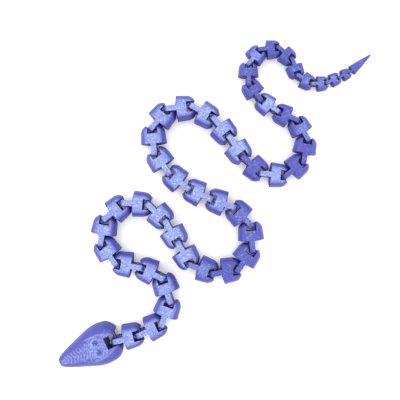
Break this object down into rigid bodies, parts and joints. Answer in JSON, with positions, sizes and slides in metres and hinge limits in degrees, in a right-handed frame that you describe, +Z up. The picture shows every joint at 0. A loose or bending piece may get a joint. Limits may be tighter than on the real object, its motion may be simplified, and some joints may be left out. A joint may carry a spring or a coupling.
{
  "type": "jointed snake puzzle",
  "caption": "Jointed toy snake: a wedge head, a chain of barrel links with hooked loops on crossbars, and a pointed tail, lying in S-curves.",
  "frame": {"origin": "on the flat underside of the head, midway along its length", "axes": "+Z up from the surface the snake lies on, +X to the right and +Y away from the user as the snake lies, head at the lower left"},
  "size_m": [0.1938, 0.202, 0.015],
  "materials": {
    "textured_filament": "satin",
    "glossy_filament": "satin"
  },
  "bodies": {
    "head": {"head": "textured_filament"},
    "link_1": {"link_1": "textured_filament"},
    "link_2": {"link_2": "textured_filament"},
    "link_3": {"link_3": "textured_filament"},
    "link_4": {"link_4": "textured_filament"},
    "link_5": {"link_5": "textured_filament"},
    "link_6": {"link_6": "textured_filament"},
    "link_7": {"link_7": "textured_filament"},
    "link_8": {"link_8": "textured_filament"},
    "link_9": {"link_9": "textured_filament"},
    "link_10": {"link_10": "textured_filament"},
    "link_11": {"link_11": "textured_filament"},
    "link_12": {"link_12": "textured_filament"},
    "link_13": {"link_13": "textured_filament"},
    "link_14": {"link_14": "glossy_filament"},
    "link_15": {"link_15": "glossy_filament"},
    "link_16": {"link_16": "glossy_filament"},
    "link_17": {"link_17": "glossy_filament"},
    "link_18": {"link_18": "glossy_filament"},
    "link_19": {"link_19": "textured_filament"},
    "link_20": {"link_20": "textured_filament"},
    "link_21": {"link_21": "textured_filament"},
    "link_22": {"link_22": "textured_filament"},
    "link_23": {"link_23": "textured_filament"},
    "link_24": {"link_24": "textured_filament"},
    "link_25": {"link_25": "textured_filament"},
    "link_26": {"link_26": "textured_filament"},
    "link_27": {"link_27": "textured_filament"},
    "link_28": {"link_28": "textured_filament"},
    "link_29": {"link_29": "glossy_filament"},
    "link_30": {"link_30": "textured_filament"},
    "link_31": {"link_31": "glossy_filament"},
    "link_32": {"link_32": "glossy_filament"},
    "link_33": {"link_33": "glossy_filament"},
    "link_34": {"link_34": "glossy_filament"},
    "link_35": {"link_35": "textured_filament"},
    "link_36": {"link_36": "glossy_filament"},
    "link_37": {"link_37": "glossy_filament"},
    "link_38": {"link_38": "textured_filament"},
    "link_39": {"link_39": "glossy_filament"},
    "link_40": {"link_40": "glossy_filament"},
    "link_41": {"link_41": "glossy_filament"},
    "link_42": {"link_42": "glossy_filament"},
    "link_43": {"link_43": "glossy_filament"},
    "link_44": {"link_44": "glossy_filament"},
    "link_45": {"link_45": "glossy_filament"},
    "tail_tip": {"tail_tip": "glossy_filament"}
  },
  "joints": [
    {"name": "bend_01", "type": "hinge", "parent": "head", "child": "link_1", "pos_m": [0.01727, 0.00651, 0.0063], "axis": [0, 0, 1], "range_deg": [-8, 28]},
    {"name": "bend_02", "type": "hinge", "parent": "link_1", "child": "link_2", "pos_m": [0.03176, 0.01039, 0.0063], "axis": [0, 0, 1], "range_deg": [-55, 35]},
    {"name": "bend_03", "type": "hinge", "parent": "link_2", "child": "link_3", "pos_m": [0.04535, 0.01673, 0.0063], "axis": [0, 0, 1], "range_deg": [-90, 0]},
    {"name": "bend_04", "type": "hinge", "parent": "link_3", "child": "link_4", "pos_m": [0.05048, 0.03082, 0.0063], "axis": [0, 0, 1], "range_deg": [-85, 5]},
    {"name": "bend_05", "type": "hinge", "parent": "link_4", "child": "link_5", "pos_m": [0.04535, 0.04492, 0.0063], "axis": [0, 0, -1], "range_deg": [0, 45]},
    {"name": "bend_06", "type": "hinge", "parent": "link_5", "child": "link_6", "pos_m": [0.03176, 0.05126, 0.0063], "axis": [0, 0, -1], "range_deg": [-30, 15]},
    {"name": "bend_07", "type": "hinge", "parent": "link_6", "child": "link_7", "pos_m": [0.01698, 0.05386, 0.0063], "axis": [0, 0, -1], "range_deg": [-90, 0]},
    {"name": "bend_08", "type": "hinge", "parent": "link_7", "child": "link_8", "pos_m": [0.00838, 0.06615, 0.0063], "axis": [0, 0, -1], "range_deg": [-90, 0]},
    {"name": "bend_09", "type": "hinge", "parent": "link_8", "child": "link_9", "pos_m": [0.01099, 0.08092, 0.0063], "axis": [0, 0, 1], "range_deg": [-5, 85]},
    {"name": "bend_10", "type": "hinge", "parent": "link_9", "child": "link_10", "pos_m": [0.02248, 0.09057, 0.0063], "axis": [0, 0, 1], "range_deg": [0, 90]},
    {"name": "bend_11", "type": "hinge", "parent": "link_10", "child": "link_11", "pos_m": [0.03742, 0.08926, 0.0063], "axis": [0, 0, 1], "range_deg": [-5, 70]},
    {"name": "bend_12", "type": "hinge", "parent": "link_11", "child": "link_12", "pos_m": [0.04803, 0.07865, 0.0063], "axis": [0, 0, 1], "range_deg": [-10, 30]},
    {"name": "bend_13", "type": "hinge", "parent": "link_12", "child": "link_13", "pos_m": [0.05553, 0.06566, 0.0063], "axis": [0, 0, -1], "range_deg": [-15, 20]},
    {"name": "bend_14", "type": "hinge", "parent": "link_13", "child": "link_14", "pos_m": [0.06303, 0.05267, 0.0063], "axis": [0, 0, -1], "range_deg": [-5, 65]},
    {"name": "bend_15", "type": "hinge", "parent": "link_14", "child": "link_15", "pos_m": [0.07712, 0.04754, 0.0063], "axis": [0, 0, -1], "range_deg": [-5, 75]},
    {"name": "bend_16", "type": "hinge", "parent": "link_15", "child": "link_16", "pos_m": [0.09189, 0.05015, 0.0063], "axis": [0, 0, -1], "range_deg": [0, 90]},
    {"name": "bend_17", "type": "hinge", "parent": "link_16", "child": "link_17", "pos_m": [0.1005, 0.06243, 0.0063], "axis": [0, 0, 1], "range_deg": [-85, 5]},
    {"name": "bend_18", "type": "hinge", "parent": "link_17", "child": "link_18", "pos_m": [0.09919, 0.07737, 0.0063], "axis": [0, 0, 1], "range_deg": [-85, 5]},
    {"name": "bend_19", "type": "hinge", "parent": "link_18", "child": "link_19", "pos_m": [0.08858, 0.08798, 0.0063], "axis": [0, 0, 1], "range_deg": [-70, 5]},
    {"name": "bend_20", "type": "hinge", "parent": "link_19", "child": "link_20", "pos_m": [0.07449, 0.09311, 0.0063], "axis": [0, 0, 1], "range_deg": [-35, 15]},
    {"name": "bend_21", "type": "hinge", "parent": "link_20", "child": "link_21", "pos_m": [0.06089, 0.09945, 0.0063], "axis": [0, 0, -1], "range_deg": [-30, 20]},
    {"name": "bend_22", "type": "hinge", "parent": "link_21", "child": "link_22", "pos_m": [0.0494, 0.10909, 0.0063], "axis": [0, 0, -1], "range_deg": [-60, 10]},
    {"name": "bend_23", "type": "hinge", "parent": "link_22", "child": "link_23", "pos_m": [0.0408, 0.12138, 0.0063], "axis": [0, 0, -1], "range_deg": [-75, 5]},
    {"name": "bend_24", "type": "hinge", "parent": "link_23", "child": "link_24", "pos_m": [0.03949, 0.13632, 0.0063], "axis": [0, 0, -1], "range_deg": [-90, 0]},
    {"name": "bend_25", "type": "hinge", "parent": "link_24", "child": "link_25", "pos_m": [0.04913, 0.14781, 0.0063], "axis": [0, 0, 1], "range_deg": [0, 90]},
    {"name": "bend_26", "type": "hinge", "parent": "link_25", "child": "link_26", "pos_m": [0.06408, 0.14912, 0.0063], "axis": [0, 0, 1], "range_deg": [-10, 80]},
    {"name": "bend_27", "type": "hinge", "parent": "link_26", "child": "link_27", "pos_m": [0.07707, 0.14162, 0.0063], "axis": [0, 0, 1], "range_deg": [-15, 65]},
    {"name": "bend_28", "type": "hinge", "parent": "link_27", "child": "link_28", "pos_m": [0.08671, 0.13013, 0.0063], "axis": [0, 0, 1], "range_deg": [-25, 50]},
    {"name": "bend_29", "type": "hinge", "parent": "link_28", "child": "link_29", "pos_m": [0.09531, 0.11784, 0.0063], "axis": [0, 0, -1], "range_deg": [-30, 40]},
    {"name": "bend_30", "type": "hinge", "parent": "link_29", "child": "link_30", "pos_m": [0.10662, 0.10835, 0.00615], "axis": [0, 0, -1], "range_deg": [-10, 80]},
    {"name": "bend_31", "type": "hinge", "parent": "link_30", "child": "link_31", "pos_m": [0.12097, 0.1071, 0.006], "axis": [0, 0, -1], "range_deg": [0, 90]},
    {"name": "bend_32", "type": "hinge", "parent": "link_31", "child": "link_32", "pos_m": [0.13173, 0.11613, 0.00585], "axis": [0, 0, -1], "range_deg": [-5, 85]},
    {"name": "bend_33", "type": "hinge", "parent": "link_32", "child": "link_33", "pos_m": [0.13411, 0.1296, 0.0057], "axis": [0, 0, 1], "range_deg": [-85, 5]},
    {"name": "bend_34", "type": "hinge", "parent": "link_33", "child": "link_34", "pos_m": [0.12745, 0.14114, 0.00554], "axis": [0, 0, 1], "range_deg": [-80, 10]},
    {"name": "bend_35", "type": "hinge", "parent": "link_34", "child": "link_35", "pos_m": [0.1157, 0.14662, 0.00539], "axis": [0, 0, 1], "range_deg": [-35, 40]},
    {"name": "bend_36", "type": "hinge", "parent": "link_35", "child": "link_36", "pos_m": [0.10537, 0.15385, 0.00524], "axis": [0, 0, 1], "range_deg": [-25, 65]},
    {"name": "bend_37", "type": "hinge", "parent": "link_36", "child": "link_37", "pos_m": [0.09835, 0.16388, 0.00509], "axis": [0, 0, -1], "range_deg": [-80, 10]},
    {"name": "bend_38", "type": "hinge", "parent": "link_37", "child": "link_38", "pos_m": [0.09835, 0.17577, 0.00494], "axis": [0, 0, -1], "range_deg": [-85, 5]},
    {"name": "bend_39", "type": "hinge", "parent": "link_38", "child": "link_39", "pos_m": [0.10576, 0.18459, 0.00479], "axis": [0, 0, -1], "range_deg": [-90, 0]},
    {"name": "bend_40", "type": "hinge", "parent": "link_39", "child": "link_40", "pos_m": [0.11688, 0.18557, 0.00464], "axis": [0, 0, -1], "range_deg": [-90, 0]},
    {"name": "bend_41", "type": "hinge", "parent": "link_40", "child": "link_41", "pos_m": [0.12515, 0.17862, 0.00449], "axis": [0, 0, 1], "range_deg": [-15, 75]},
    {"name": "bend_42", "type": "hinge", "parent": "link_41", "child": "link_42", "pos_m": [0.12873, 0.16881, 0.00433], "axis": [0, 0, 1], "range_deg": [-25, 5]},
    {"name": "bend_43", "type": "hinge", "parent": "link_42", "child": "link_43", "pos_m": [0.13746, 0.16376, 0.00418], "axis": [0, 0, 1], "range_deg": [-80, 10]},
    {"name": "bend_44", "type": "hinge", "parent": "link_43", "child": "link_44", "pos_m": [0.14675, 0.16458, 0.00377], "axis": [0, 0, 1], "range_deg": [-65, 25]},
    {"name": "bend_45", "type": "hinge", "parent": "link_44", "child": "link_45", "pos_m": [0.15431, 0.16811, 0.00336], "axis": [0, 0, -1], "range_deg": [-45, 45]},
    {"name": "bend_46", "type": "hinge", "parent": "link_45", "child": "tail_tip", "pos_m": [0.16099, 0.17122, 0.00296], "axis": [0, 0, -1], "range_deg": [-30, 60]}
  ]
}
